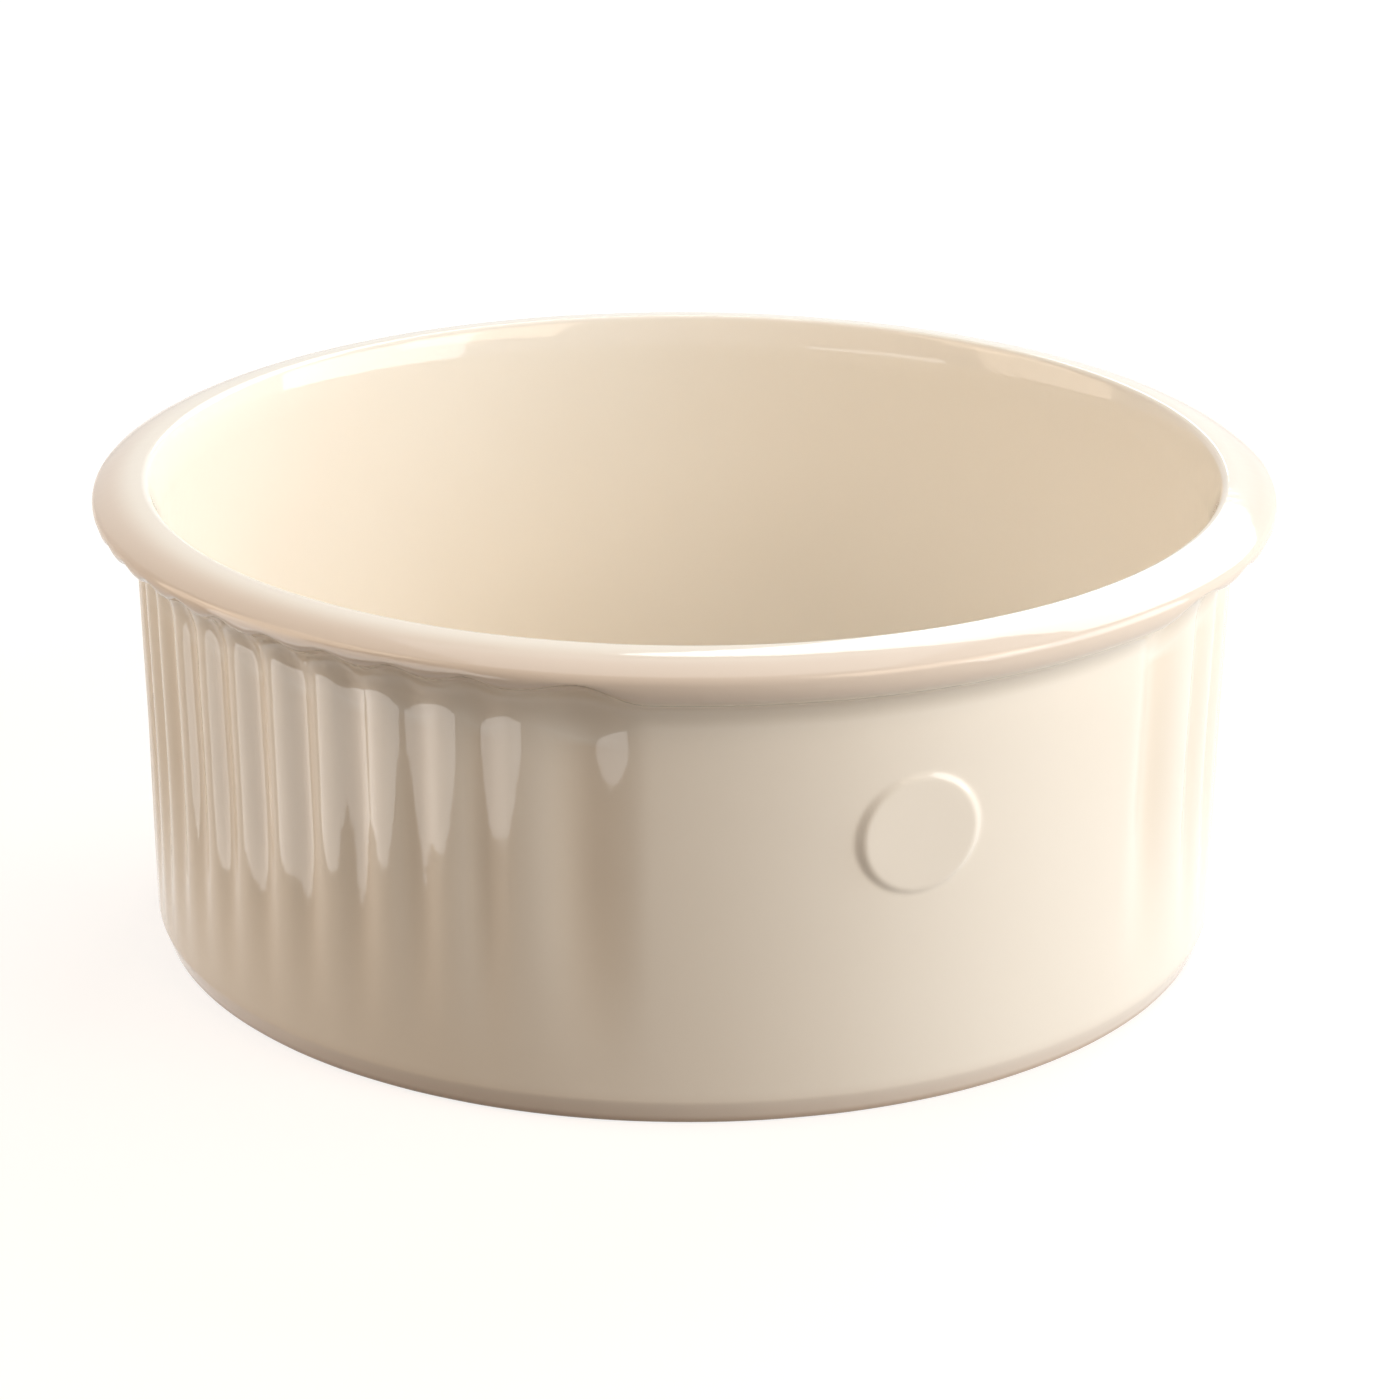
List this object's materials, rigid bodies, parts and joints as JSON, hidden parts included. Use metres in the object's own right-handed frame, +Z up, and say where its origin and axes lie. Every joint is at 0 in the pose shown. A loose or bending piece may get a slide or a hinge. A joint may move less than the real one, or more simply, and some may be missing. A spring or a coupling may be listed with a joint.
{
  "type": "souffle dish",
  "caption": "Round glazed ceramic souffle dish with an upright reeded wall, a rolled rim, and a plain front panel with a small raised boss.",
  "frame": {"origin": "centre of the foot ring, on the surface that the dish stands on", "axes": "+Z up along the axis that the dish is turned on; -Y out of the middle of the plain front panel and its boss"},
  "size_m": [0.212, 0.2119, 0.085],
  "materials": {
    "glaze": "glossy cream glaze over stoneware, bare clay on the flat of the foot ring"
  },
  "bodies": {
    "root": {"dish": "glaze"}
  },
  "joints": []
}
